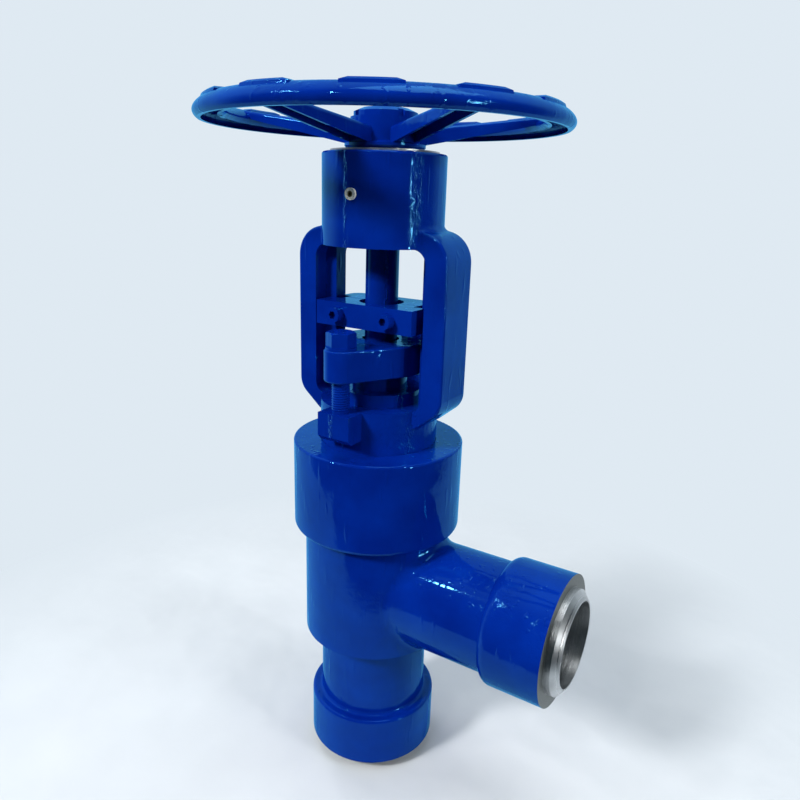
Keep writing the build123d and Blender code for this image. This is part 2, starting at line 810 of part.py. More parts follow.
# Stem nut: turns in the barrel between the two thrust bearings and carries the handwheel
with BuildPart() as stem_nut:
    with BuildSketch(Plane.XZ):
        with BuildLine():
            Polyline(
                (stem_radius + stem_thread_fit, lower_bearing_bottom - nut_spigot),
                (nut_body_radius, lower_bearing_bottom - nut_spigot),
                (nut_body_radius, nut_flange_bottom),
                (nut_flange_radius, nut_flange_bottom),
                (nut_flange_radius, nut_flange_top),
                (nut_body_radius, nut_flange_top),
                (nut_body_radius, hub_bottom),
                (wheel_seat_radius, hub_bottom),
                (wheel_seat_radius, hub_top - hub_edge),
                (nut_thread_radius, hub_top - hub_edge),
                (nut_thread_radius, wheel_nut_top),
                (stem_radius + stem_thread_fit, wheel_nut_top),
                (stem_radius + stem_thread_fit, lower_bearing_bottom - nut_spigot),
            )
        make_face()
    revolve(axis=Axis.Z)
    with BuildSketch(Plane.XY.offset(hub_bottom)):
        with Locations((wheel_seat_radius, 0)):
            Rectangle(2 * key_depth, key_width)
    extrude(amount=key_length, mode=Mode.SUBTRACT)
save(stem_nut, "stem_nut")

# Thrust bearings below and above the nut's flange
pocket_length = roller_length + 2 * cage_play
pocket_width = 2 * (roller_radius + cage_play)
roller_reach = roller_pitch_radius - roller_length / 2
bearing_rows = {
    "lower": (lower_bearing_bottom, True),
    "upper": (nut_flange_top, False),
}
for row, (row_bottom, fixed_below) in bearing_rows.items():
    row_middle = row_bottom + bearing_height / 2
    row_high = row_bottom + bearing_height - bearing_washer_height
    fixed_bottom = row_bottom if fixed_below else row_high
    turning_bottom = row_high if fixed_below else row_bottom
    with BuildPart() as housing_washer:
        with BuildSketch(Plane.XY.offset(fixed_bottom)):
            Circle(washer_wide_outer_radius)
            Circle(washer_wide_bore_radius, mode=Mode.SUBTRACT)
        extrude(amount=bearing_washer_height)
    save(housing_washer, f"{row}_housing_washer")

    with BuildPart() as shaft_washer:
        with BuildSketch(Plane.XY.offset(turning_bottom)):
            Circle(washer_outer_radius)
            Circle(washer_bore_radius, mode=Mode.SUBTRACT)
        extrude(amount=bearing_washer_height)
    save(shaft_washer, f"{row}_shaft_washer")

    with BuildPart() as cage:
        with BuildSketch(Plane.XY.offset(row_middle - cage_height / 2)):
            Circle(cage_outer_radius)
            Circle(cage_inner_radius, mode=Mode.SUBTRACT)
            with PolarLocations(roller_pitch_radius, roller_count):
                Rectangle(pocket_length, pocket_width, mode=Mode.SUBTRACT)
        extrude(amount=cage_height)
    save(cage, f"{row}_cage")

    with BuildPart() as rollers:
        for roller in range(roller_count):
            roller_angle = 360 * roller / roller_count
            with BuildSketch(outward_plane(roller_angle, roller_reach, row_middle)):
                Circle(roller_radius - roller_play)
            extrude(amount=roller_length)
    save(rollers, f"{row}_rollers")

# Bearing retainer screwed into the barrel, its oil seal and its locking screw
seal_bottom = retainer_top - seal_height
with BuildPart() as bearing_retainer:
    with BuildSketch(Plane.XZ):
        with BuildLine():
            Polyline(
                (nut_body_radius + running_fit, upper_bearing_top),
                (retainer_radius, upper_bearing_top),
                (retainer_radius, barrel_top),
                (retainer_lip_radius, barrel_top),
                (retainer_lip_radius, retainer_top),
                (seal_outer_radius, retainer_top),
                (seal_outer_radius, seal_bottom),
                (nut_body_radius + running_fit, seal_bottom),
                (nut_body_radius + running_fit, upper_bearing_top),
            )
        make_face()
    revolve(axis=Axis.Z)
save(bearing_retainer, "bearing_retainer")

with BuildPart() as oil_seal:
    with BuildSketch(Plane.XY.offset(seal_bottom)):
        Circle(seal_outer_radius)
        Circle(nut_body_radius + seal_fit, mode=Mode.SUBTRACT)
    extrude(amount=seal_height)
save(oil_seal, "oil_seal")

grub_plane = outward_plane(grub_angle, retainer_radius + fitting_fit, barrel_top - grub_drop)
with BuildPart() as retainer_screw:
    with BuildSketch(grub_plane):
        Circle(grub_radius)
    extrude(amount=grub_length)
    with BuildSketch(grub_plane.offset(grub_length)):
        RegularPolygon(radius=grub_socket_width / 2, side_count=6, major_radius=False)
    extrude(amount=-grub_socket_depth, mode=Mode.SUBTRACT)
save(retainer_screw, "retainer_screw")

# Grease nipple for the bearings, on the front of the barrel
with BuildPart() as grease_nipple:
    with BuildSketch(nipple_plane):
        Circle(nipple_shank_radius)
    extrude(amount=nipple_shank)
    with BuildSketch(nipple_plane.offset(nipple_shank)):
        Circle(nipple_radius)
    extrude(amount=nipple_standout)
    with BuildSketch(nipple_plane.offset(nipple_shank + nipple_standout)):
        Circle(nipple_mouth_radius)
    extrude(amount=-nipple_mouth_depth, mode=Mode.SUBTRACT)
save(grease_nipple, "grease_nipple")

# One spoke of the handwheel: a channel, open below, that climbs from the hub to the rim
spoke_root_bottom = hub_bottom + spoke_root_lift
spoke_root_top = spoke_root_bottom + spoke_root_depth
spoke_tip_bottom = hub_bottom + spoke_tip_lift
spoke_root_x = wheel_nut_radius + hub_edge / 2
void_root_x = hub_foot_radius
void_tip_x = rim_throat_radius - spoke_end_wall
spoke_top_slope = (spoke_tip_bottom + spoke_tip_depth - spoke_root_top) / (spoke_run - spoke_root_x)
with BuildPart() as spoke:
    with BuildSketch(Plane.XZ):
        with BuildLine():
            Polyline(
                (spoke_root_x, spoke_root_bottom),
                (spoke_run, spoke_tip_bottom),
                (spoke_run, spoke_tip_bottom + spoke_tip_depth),
                (spoke_root_x, spoke_root_top),
                close=True,
            )
        make_face()
    extrude(amount=spoke_width / 2, both=True)
    top_edges = [
        edge
        for edge in spoke.edges()
        if edge.length > spoke_run / 2 and edge.center().Z > spoke_root_top
    ]
    fillet(top_edges, radius=spoke_edge)
    with BuildSketch(Plane.XZ):
        with BuildLine():
            Polyline(
                (void_root_x, hub_bottom),
                (void_tip_x, hub_bottom),
                (void_tip_x, spoke_root_top + spoke_top_slope * (void_tip_x - spoke_root_x) - spoke_wall),
                (void_root_x, spoke_root_top + spoke_top_slope * (void_root_x - spoke_root_x) - spoke_wall),
                close=True,
            )
        make_face()
    extrude(amount=spoke_width / 2 - spoke_wall, both=True, mode=Mode.SUBTRACT)

# One raised pad of the rim's crown, with a ramp at each end
rim_shoulder_z = hub_bottom + rim_shoulder_lift
rim_crown_z = hub_bottom + rim_crown_lift
pad_top = rim_crown_z + pad_height
pad_half_length = rim_crown_radius * sin(radians(pad_arc / 2))
with BuildPart() as pad:
    with BuildSketch(radial_plane(-pad_arc / 2)):
        with BuildLine():
            Polyline(
                (rim_crown_radius - pad_half_width, rim_shoulder_z - pad_bevel),
                (rim_crown_radius + pad_half_width, rim_shoulder_z - pad_bevel),
                (rim_crown_radius + pad_half_width - pad_bevel, pad_top - pad_bevel),
                (rim_crown_radius + pad_half_width / 2, pad_top),
                (rim_crown_radius - pad_half_width / 2, pad_top),
                (rim_crown_radius - pad_half_width + pad_bevel, pad_top - pad_bevel),
                close=True,
            )
        make_face()
    revolve(axis=Axis.Z, revolution_arc=pad_arc)
    with BuildSketch(Plane.YZ):
        for side in (-1, 1):
            with BuildLine():
                Polyline(
                    (side * (pad_half_length - pad_ramp), pad_top),
                    (side * (pad_half_length + pad_ramp), pad_top),
                    (side * (pad_half_length + pad_ramp), pad_top - 2 * pad_height),
                    close=True,
                )
            make_face()
    extrude(amount=rim_bulge_radius, mode=Mode.SUBTRACT)

# Handwheel casting: hub, five spokes and a hollow rim that is open below
rim_wall_in = rim_wall * sin(radians(rim_shoulder_slope))
rim_wall_down = rim_wall * cos(radians(rim_shoulder_slope))
rim_lip_z = hub_bottom + rim_lip_lift
rim_inner_lip_z = hub_bottom + rim_inner_lip_lift
rim_bulge_z = hub_bottom + rim_bulge_lift
rim_throat_z = hub_bottom + rim_throat_lift
with BuildPart() as handwheel:
    with BuildSketch(Plane.XZ):
        with BuildLine():
            Spline(
                (rim_outer_lip_radius, rim_lip_z),
                (rim_bulge_radius, rim_bulge_z),
                (rim_shoulder_radius, rim_shoulder_z),
                (rim_crown_radius, rim_crown_z),
                (rim_inner_shoulder_radius, rim_shoulder_z),
                (rim_throat_radius, rim_throat_z),
                (rim_inner_lip_radius, rim_inner_lip_z),
            )
            Polyline(
                (rim_inner_lip_radius, rim_inner_lip_z),
                (rim_inner_lip_radius + rim_wall, rim_inner_lip_z),
            )
            Spline(
                (rim_inner_lip_radius + rim_wall, rim_inner_lip_z),
                (rim_throat_radius + rim_wall, rim_throat_z),
                (rim_inner_shoulder_radius + rim_wall_in, rim_shoulder_z - rim_wall_down),
                (rim_crown_radius, rim_crown_z - rim_wall),
                (rim_shoulder_radius - rim_wall_in, rim_shoulder_z - rim_wall_down),
                (rim_bulge_radius - rim_wall, rim_bulge_z),
                (rim_outer_lip_radius - rim_wall, rim_lip_z),
            )
            Polyline(
                (rim_outer_lip_radius - rim_wall, rim_lip_z),
                (rim_outer_lip_radius, rim_lip_z),
            )
        make_face()
    revolve(axis=Axis.Z)
    for pad_place in range(pad_count):
        add(pad.part.rotate(Axis.Z, pad_phase + 360 * pad_place / pad_count))
    for arm in range(spoke_count):
        add(spoke.part.rotate(Axis.Z, spoke_phase + 360 * arm / spoke_count))
    with BuildSketch(Plane.XZ):
        with BuildLine():
            Polyline(
                (0, hub_bottom),
                (hub_foot_radius - hub_edge, hub_bottom),
                (hub_foot_radius, hub_bottom + hub_edge),
                (hub_foot_radius, hub_bottom + hub_foot_height),
                (hub_radius, hub_bottom + hub_foot_height + hub_edge),
                (hub_radius, hub_top),
                (0, hub_top),
                (0, hub_bottom),
            )
        make_face()
    revolve(axis=Axis.Z)
    with BuildSketch(Plane.XY.offset(hub_bottom)):
        Circle(wheel_seat_radius + hub_fit)
        with Locations((wheel_seat_radius, 0)):
            Rectangle(2 * (key_depth + key_fit), key_width + 2 * key_fit)
    extrude(amount=hub_height, mode=Mode.SUBTRACT)
save(handwheel, "handwheel")

# Key between the stem nut and the handwheel
with BuildPart() as handwheel_key:
    with BuildSketch(Plane.XY.offset(hub_bottom)):
        with Locations((wheel_seat_radius, 0)):
            Rectangle(2 * key_depth, key_width)
    extrude(amount=key_length)
save(handwheel_key, "handwheel_key")

# Round slotted nut that holds the handwheel down
with BuildPart() as handwheel_nut:
    with BuildSketch(Plane.XZ):
        with BuildLine():
            Polyline(
                (nut_thread_radius + hub_fit, hub_top),
                (wheel_nut_radius, hub_top),
                (wheel_nut_radius, wheel_nut_top - wheel_nut_bevel_height),
                (wheel_nut_radius - wheel_nut_bevel_width, wheel_nut_top),
                (nut_thread_radius + hub_fit, wheel_nut_top),
                (nut_thread_radius + hub_fit, hub_top),
            )
        make_face()
    revolve(axis=Axis.Z)
    with BuildSketch(Plane.XY.offset(hub_top)):
        with PolarLocations(wheel_nut_radius, wheel_nut_slots, start_angle=wheel_nut_slot_phase):
            Rectangle(2 * wheel_nut_slot_depth, wheel_nut_slot_width)
    extrude(amount=wheel_nut_height, mode=Mode.SUBTRACT)
save(handwheel_nut, "handwheel_nut")
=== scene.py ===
"""Angle globe valve in glossy blue enamel, with bare steel weld ends."""
import math

import bpy
from mathutils import Matrix, Vector


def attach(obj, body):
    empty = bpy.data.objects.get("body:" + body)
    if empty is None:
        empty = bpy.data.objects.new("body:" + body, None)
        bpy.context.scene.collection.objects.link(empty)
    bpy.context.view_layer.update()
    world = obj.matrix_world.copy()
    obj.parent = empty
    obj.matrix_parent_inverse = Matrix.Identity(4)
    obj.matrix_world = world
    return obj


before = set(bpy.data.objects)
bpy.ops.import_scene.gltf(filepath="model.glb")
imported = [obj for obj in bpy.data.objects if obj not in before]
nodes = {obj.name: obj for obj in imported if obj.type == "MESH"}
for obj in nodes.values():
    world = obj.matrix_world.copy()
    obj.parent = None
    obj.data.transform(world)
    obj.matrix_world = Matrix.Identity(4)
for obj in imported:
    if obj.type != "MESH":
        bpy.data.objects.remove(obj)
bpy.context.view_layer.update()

MM = 0.001
scene = bpy.context.scene

# Node trees


class Tree:
    """A material's node tree with short ways to add nodes and links."""

    def __init__(self, name):
        self.material = bpy.data.materials.new(name)
        self.material.use_nodes = True
        self.tree = self.material.node_tree
        self.tree.nodes.clear()
        self.out = self.add("ShaderNodeOutputMaterial")

    def add(self, kind, **settings):
        node = self.tree.nodes.new(kind)
        for key, value in settings.items():
            setattr(node, key, value)
        return node

    def put(self, socket, value):
        """Give a socket a number, a colour or another node's output."""
        if isinstance(value, bpy.types.NodeSocket):
            self.tree.links.new(value, socket)
        else:
            socket.default_value = value

    def math(self, operation, a, b=0.0):
        node = self.add("ShaderNodeMath", operation=operation)
        self.put(node.inputs[0], a)
        self.put(node.inputs[1], b)
        return node.outputs[0]

    def length(self, a, b):
        """The length of the slope over a and b."""
        return self.math("SQRT", self.math("ADD", self.math("MULTIPLY", a, a), self.math("MULTIPLY", b, b)))

    def place(self):
        """Object coordinates, in metres in the row frame."""
        return self.add("ShaderNodeTexCoord").outputs["Object"]

    def axes(self, vector):
        node = self.add("ShaderNodeSeparateXYZ")
        self.put(node.inputs[0], vector)
        return node.outputs[0], node.outputs[1], node.outputs[2]

    def scaled(self, vector, x, y, z):
        node = self.add("ShaderNodeVectorMath", operation="MULTIPLY")
        self.put(node.inputs[0], vector)
        node.inputs[1].default_value = (x, y, z)
        return node.outputs[0]

    def noise(self, vector, scale, detail=2.0, roughness=0.5):
        node = self.add("ShaderNodeTexNoise")
        self.put(node.inputs["Vector"], vector)
        node.inputs["Scale"].default_value = scale
        node.inputs["Detail"].default_value = detail
        node.inputs["Roughness"].default_value = roughness
        return node.outputs["Fac"]

    def remap(self, value, low, high, to_low=0.0, to_high=1.0):
        node = self.add("ShaderNodeMapRange")
        self.put(node.inputs["Value"], value)
        node.inputs["From Min"].default_value = low
        node.inputs["From Max"].default_value = high
        node.inputs["To Min"].default_value = to_low
        node.inputs["To Max"].default_value = to_high
        return node.outputs["Result"]

    def mix(self, factor, low, high):
        node = self.add("ShaderNodeMix", data_type="RGBA")
        self.put(node.inputs["Factor"], factor)
        self.put(node.inputs["A"], low)
        self.put(node.inputs["B"], high)
        return node.outputs["Result"]

    def bump(self, height, distance, normal=None):
        node = self.add("ShaderNodeBump")
        node.inputs["Strength"].default_value = 1.0
        node.inputs["Distance"].default_value = distance
        self.put(node.inputs["Height"], height)
        if normal is not None:
            self.put(node.inputs["Normal"], normal)
        return node.outputs["Normal"]

    def shader(self, **sockets):
        node = self.add("ShaderNodeBsdfPrincipled")
        for name, value in sockets.items():
            self.put(node.inputs[name.replace("_", " ")], value)
        return node.outputs[0]

    def finish(self, surface):
        self.put(self.out.inputs["Surface"], surface)
        return self.material


# Colours, in linear light
ENAMEL = (0.0005, 0.0200, 0.255, 1.0)
ENAMEL_DEEP = (0.0004, 0.0130, 0.195, 1.0)
ENAMEL_GLOSS = (0.14, 0.60, 1.0, 1.0)
ENAMEL_IOR = 1.48
STEEL = (0.58, 0.61, 0.62, 1.0)
STEEL_DARK = (0.32, 0.33, 0.34, 1.0)
STEEL_DULL = (0.17, 0.185, 0.18, 1.0)
BRASS = (0.62, 0.55, 0.40, 1.0)
BRASS_WORN = (0.45, 0.36, 0.20, 1.0)
PLATING = (0.78, 0.78, 0.70, 1.0)
# Dark colour for the middle of the grease nipple's mouth
MOUTH_DARK = (0.10, 0.09, 0.04, 1.0)
GRAPHITE = (0.03, 0.03, 0.032, 1.0)
GRAPHITE_WORN = (0.06, 0.06, 0.062, 1.0)
RUBBER = (0.02, 0.02, 0.02, 1.0)
RUBBER_WORN = (0.035, 0.035, 0.035, 1.0)

# The paint's surface: cells of noise in a metre, and depth in metres
CLOUD_CELLS = 22.0
WAVE_CELLS, WAVE_DEPTH = 36.0, 0.0005
PEEL_CELLS, PEEL_DEPTH = 380.0, 0.000025
SAG_CELLS, SAG_DEPTH = 190.0, 0.00028
SKIN_CELLS, SKIN_DEPTH = 210.0, 0.0006
PATCH_CELLS = 17.0
DRIP_CELLS, DRIP_DEPTH = 330.0, 0.0006
SAG_STRETCH = 0.16
DRIP_STRETCH = 0.45
DRIP_SOFT_EDGE = 0.35
GRAIN_CELLS = 900.0

# The bare steel's tool marks and stains, measured alike
MARK_CELLS, MARK_DEPTH = 2600.0, 0.00012
STAIN_CELLS = 45.0
DULL_ROUGHNESS = 0.15

# Small parts' finish, measured alike
SPOT_CELLS, SPOT_DEPTH = 120.0, 0.00005

# Drips as the azimuth and half width of the strip that they run in, in degrees
BARREL_DRIPS = ((-27.0, 7.0), (-92.0, 2.5))
STEM_DRIPS = ((-42.0, 9.0),)


def enamel(tree, place, cast=0.0, drips=()):
    """Blue gloss paint; cast is how much of the casting's skin shows through it."""
    cloud = tree.noise(place, CLOUD_CELLS, 3.0)
    colour = tree.mix(tree.remap(cloud, 0.35, 0.65), ENAMEL, ENAMEL_DEEP)
    normal = tree.bump(tree.noise(place, WAVE_CELLS, 1.0), WAVE_DEPTH)
    normal = tree.bump(tree.noise(place, PEEL_CELLS, 2.0), PEEL_DEPTH, normal)
    sag = tree.noise(tree.scaled(place, 1.0, 1.0, SAG_STRETCH), SAG_CELLS, 1.0)
    normal = tree.bump(tree.remap(sag, 0.62, 0.78), SAG_DEPTH, normal)
    if cast:
        skin = tree.noise(place, SKIN_CELLS, 4.0, 0.6)
        patches = tree.remap(tree.noise(place, PATCH_CELLS, 2.0), 0.50, 0.66)
        normal = tree.bump(tree.math("MULTIPLY", skin, patches), SKIN_DEPTH * cast, normal)
    if drips:
        x, y, z = tree.axes(place)
        azimuth = tree.math("ARCTAN2", y, x)
        beads = tree.noise(tree.scaled(place, 1.0, 1.0, DRIP_STRETCH), DRIP_CELLS, 3.0, 0.6)
        beads = tree.remap(beads, 0.45, 0.62)
        for angle, half_width in drips:
            off = tree.math("ABSOLUTE", tree.math("SUBTRACT", azimuth, math.radians(angle)))
            strip = tree.remap(off, math.radians(half_width), math.radians(DRIP_SOFT_EDGE * half_width))
            normal = tree.bump(tree.math("MULTIPLY", beads, strip), DRIP_DEPTH, normal)
    grain = tree.remap(tree.noise(place, GRAIN_CELLS, 2.0), 0.3, 0.7, 0.03, 0.08)
    gloss = tree.add("ShaderNodeBsdfAnisotropic")
    gloss.inputs["Color"].default_value = ENAMEL_GLOSS
    tree.put(gloss.inputs["Roughness"], grain)
    tree.put(gloss.inputs["Normal"], normal)
    fresnel = tree.add("ShaderNodeFresnel")
    fresnel.inputs["IOR"].default_value = ENAMEL_IOR
    tree.put(fresnel.inputs["Normal"], normal)
    paint = tree.shader(Base_Color=colour, Roughness=grain, Specular_IOR_Level=0.0, Normal=normal)
    mixer = tree.add("ShaderNodeMixShader")
    tree.put(mixer.inputs[0], fresnel.outputs[0])
    tree.put(mixer.inputs[1], paint)
    tree.put(mixer.inputs[2], gloss.outputs[0])
    return mixer.outputs[0]


def turned_steel(tree, place, rings, dull=0.0):
    """Machined steel, dark where it is dull; rings is the length that tool marks are counted along."""
    marks = tree.add("ShaderNodeTexNoise", noise_dimensions="1D")
    tree.put(marks.inputs["W"], tree.math("MULTIPLY", rings, MARK_CELLS))
    marks.inputs["Scale"].default_value = 1.0
    marks.inputs["Detail"].default_value = 3.0
    wide = tree.noise(place, STAIN_CELLS, 3.0)
    colour = tree.mix(tree.remap(wide, 0.3, 0.7), STEEL, STEEL_DARK)
    roughness = tree.remap(marks.outputs["Fac"], 0.3, 0.7, 0.24, 0.40)
    normal = tree.bump(marks.outputs["Fac"], MARK_DEPTH)
    return tree.shader(
        Base_Color=tree.mix(dull, colour, STEEL_DULL),
        Metallic=1.0,
        Roughness=tree.math("ADD", roughness, tree.math("MULTIPLY", dull, DULL_ROUGHNESS)),
        Normal=normal,
    )


def enamel_material(name, cast=0.0, drips=()):
    tree = Tree(name)
    return tree.finish(enamel(tree, tree.place(), cast, drips))


# Materials

BRANCH_Z = 179.7 * MM
OUTLET_FACE = 186.4 * MM
INLET_FACE = 10.6 * MM
WELD_END_RADIUS = 44.6 * MM
FACE_MARGIN = 0.05 * MM
BRANCH_BORE_RADIUS = 40.2 * MM
BRANCH_BORE_START = 20.0 * MM
BODY_BORE_RADIUS = 47.4 * MM


def body_material():
    """Enamel outside, bare steel on the weld ends and in the bores."""
    tree = Tree("body_paint")
    place = tree.place()
    x, y, z = tree.axes(place)
    up = tree.math("SUBTRACT", z, BRANCH_Z)
    branch_r = tree.length(y, up)
    stem_r = tree.length(x, y)
    outlet = tree.math("GREATER_THAN", x, OUTLET_FACE - FACE_MARGIN)
    inlet = tree.math("LESS_THAN", z, INLET_FACE + FACE_MARGIN)
    outlet_bore = tree.math("LESS_THAN", branch_r, BRANCH_BORE_RADIUS)
    outlet_bore = tree.math("MULTIPLY", outlet_bore, tree.math("GREATER_THAN", x, BRANCH_BORE_START))
    inside = tree.math("LESS_THAN", stem_r, BODY_BORE_RADIUS)
    bare_faces = tree.math("MAXIMUM", outlet, inlet)
    bare_bores = tree.math("MAXIMUM", outlet_bore, inside)
    rings = tree.math("ADD", branch_r, x)
    mixer = tree.add("ShaderNodeMixShader")
    tree.put(mixer.inputs[0], tree.math("MAXIMUM", bare_faces, bare_bores))
    tree.put(mixer.inputs[1], enamel(tree, place, 0.6))
    collar_face = tree.math("GREATER_THAN", branch_r, WELD_END_RADIUS)
    tree.put(mixer.inputs[2], turned_steel(tree, place, rings, collar_face))
    return tree.finish(mixer.outputs[0])


def steel_material(name):
    tree = Tree(name)
    place = tree.place()
    x, y, z = tree.axes(place)
    return tree.finish(turned_steel(tree, place, tree.math("ADD", tree.length(x, y), z)))


NIPPLE_HEIGHT = 526.1 * MM
NIPPLE_AZIMUTH = math.radians(-85.8)
NIPPLE_MOUTH = 2.3 * MM
NIPPLE_EDGE = 0.4 * MM


def nipple_material():
    """Pale plated metal, coloured dark inside the mouth's radius."""
    tree = Tree("nipple_metal")
    x, y, z = tree.axes(tree.place())
    aside = tree.math(
        "SUBTRACT",
        tree.math("MULTIPLY", y, math.cos(NIPPLE_AZIMUTH)),
        tree.math("MULTIPLY", x, math.sin(NIPPLE_AZIMUTH)),
    )
    up = tree.math("SUBTRACT", z, NIPPLE_HEIGHT)
    rim = tree.remap(tree.length(aside, up), NIPPLE_MOUTH - NIPPLE_EDGE, NIPPLE_MOUTH + NIPPLE_EDGE)
    return tree.finish(tree.shader(
        # Dark inside the mouth's radius, pale plating around it
        Base_Color=tree.mix(rim, MOUTH_DARK, PLATING),
        Metallic=0.3,
        Roughness=tree.remap(tree.noise(tree.place(), GRAIN_CELLS, 2.0), 0.3, 0.7, 0.22, 0.36),
    ))


def plain_material(name, low, high, roughness, metallic=0.0):
    """A finish that varies in spots from one colour to another."""
    tree = Tree(name)
    spots = tree.noise(tree.place(), SPOT_CELLS, 4.0)
    return tree.finish(tree.shader(
        Base_Color=tree.mix(tree.remap(spots, 0.35, 0.65), low, high),
        Metallic=metallic,
        Roughness=tree.remap(spots, 0.3, 0.7, roughness - 0.06, roughness + 0.06),
        Normal=tree.bump(spots, SPOT_DEPTH),
    ))


def dress(material, *names):
    for name in names:
        mesh = nodes[name].data
        mesh.materials.clear()
        mesh.materials.append(material)


dress(body_material(), "valve_body")
dress(enamel_material("yoke_paint", 1.1, BARREL_DRIPS), "yoke")
dress(enamel_material("wheel_paint", 1.1), "handwheel")
dress(enamel_material("stem_paint", 0.3, STEM_DRIPS), "stem")
dress(
    enamel_material("plate_paint"),
    "gland_flange", "gland_bolts", "gland_washers", "gland_follower", "guide_plate",
    "guide_clamp", "clamp_screws", "stem_nut", "handwheel_nut", "handwheel_key",
)
dress(
    steel_material("turned_steel"),
    "seat_ring", "disc", "disc_nut", "backseat_bush", "packing_washer", "bearing_retainer",
    "retainer_screw", "lower_housing_washer", "lower_shaft_washer", "lower_rollers",
    "upper_housing_washer", "upper_shaft_washer", "upper_rollers",
)
dress(plain_material("cage_brass", BRASS, BRASS_WORN, 0.3, 1.0), "lower_cage", "upper_cage")
dress(nipple_material(), "grease_nipple")
dress(
    plain_material("graphite_packing", GRAPHITE, GRAPHITE_WORN, 0.6),
    "packing_rings", "bonnet_gasket",
)
dress(plain_material("seal_rubber", RUBBER, RUBBER_WORN, 0.55), "oil_seal")

# Threads on the gland bolts, where they show between flange and lugs

BOLT_OFFSET = 57.0 * MM
THREAD_LOW = 355.2 * MM
THREAD_HIGH = 381.0 * MM
THREAD_PITCH = 2.0 * MM
THREAD_ROOT = 6.95 * MM
THREAD_CREST = 7.45 * MM
THREAD_STEPS = 40
THREAD_END = 0.1
FLANK = 0.46
CREST = 0.10


def thread(name, centre_y, paint):
    """Helical ridge around a bolt's shank, run out at both ends."""
    turns = (THREAD_HIGH - THREAD_LOW - THREAD_PITCH) / THREAD_PITCH
    count = int(turns * THREAD_STEPS)
    vertices = []
    faces = []
    for step in range(count + 1):
        angle = 2 * math.pi * step / THREAD_STEPS
        middle = THREAD_LOW + THREAD_PITCH * (0.5 + step / THREAD_STEPS)
        run_out = max(THREAD_END, min(1.0, step / THREAD_STEPS, (count - step) / THREAD_STEPS))
        crest = THREAD_ROOT + (THREAD_CREST - THREAD_ROOT) * run_out
        for radius, rise in ((THREAD_ROOT, -FLANK), (crest, -CREST), (crest, CREST), (THREAD_ROOT, FLANK)):
            vertices.append((
                radius * math.cos(angle),
                centre_y + radius * math.sin(angle),
                middle + rise * THREAD_PITCH,
            ))
        if step:
            here = 4 * step
            for side in range(4):
                after = (side + 1) % 4
                faces.append((here - 4 + side, here + side, here + after, here - 4 + after))
    faces.append((0, 1, 2, 3))
    faces.append((4 * count + 3, 4 * count + 2, 4 * count + 1, 4 * count))
    mesh = bpy.data.meshes.new(name)
    mesh.from_pydata(vertices, [], faces)
    mesh.materials.append(paint)
    piece = bpy.data.objects.new(name, mesh)
    scene.collection.objects.link(piece)
    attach(piece, "gland")


bolt_paint = nodes["gland_bolts"].data.materials[0]
thread("front_bolt_thread", -BOLT_OFFSET, bolt_paint)
thread("back_bolt_thread", BOLT_OFFSET, bolt_paint)

# Floor and backdrop

VIEW_AZIMUTH = math.radians(33.5)


def turned(x, y, z):
    """A point given across and along the view, in the row frame."""
    c, s = math.cos(VIEW_AZIMUTH), math.sin(VIEW_AZIMUTH)
    return (x * c - y * s, x * s + y * c, z)


BACKGROUND = (0.74, 0.82, 0.89, 1.0)
PAPER = (0.62, 0.64, 0.66, 1.0)
PAPER_WORN = (0.56, 0.58, 0.60, 1.0)
FADE_AROUND = (0.30, 0.60)
FADE_IN_FRONT = (-0.15, -0.30)
PAPER_CELLS = 7.0
CREASE_CELLS, CREASE_DEPTH = 14.0, 0.004


def paper_material():
    """Pale matt paper that passes into the plain background away from the valve."""
    tree = Tree("studio_paper")
    place = tree.place()
    x, y, z = tree.axes(place)
    forward = turned(0.0, 1.0, 0.0)
    along = tree.math("ADD", tree.math("MULTIPLY", x, forward[0]), tree.math("MULTIPLY", y, forward[1]))
    far = tree.math("MAXIMUM", tree.remap(tree.length(x, y), *FADE_AROUND), tree.remap(along, *FADE_IN_FRONT))
    ray = tree.add("ShaderNodeLightPath")
    shown = tree.math("MAXIMUM", ray.outputs["Is Camera Ray"], ray.outputs["Is Glossy Ray"])
    shown = tree.math("MAXIMUM", shown, ray.outputs["Is Transmission Ray"])
    tone = tree.mix(tree.remap(tree.noise(place, PAPER_CELLS, 3.0), 0.3, 0.7), PAPER, PAPER_WORN)
    background = tree.add("ShaderNodeEmission")
    background.inputs["Color"].default_value = BACKGROUND
    mixer = tree.add("ShaderNodeMixShader")
    tree.put(mixer.inputs[0], tree.math("MULTIPLY", far, shown))
    tree.put(mixer.inputs[1], tree.shader(
        Base_Color=tone,
        Roughness=0.7,
        Normal=tree.bump(tree.noise(place, CREASE_CELLS), CREASE_DEPTH),
    ))
    tree.put(mixer.inputs[2], background.outputs[0])
    return tree.finish(mixer.outputs[0])


def mesh_object(name, vertices, faces, material):
    mesh = bpy.data.meshes.new(name)
    mesh.from_pydata(vertices, [], faces)
    mesh.materials.append(material)
    obj = bpy.data.objects.new(name, mesh)
    scene.collection.objects.link(obj)
    return obj


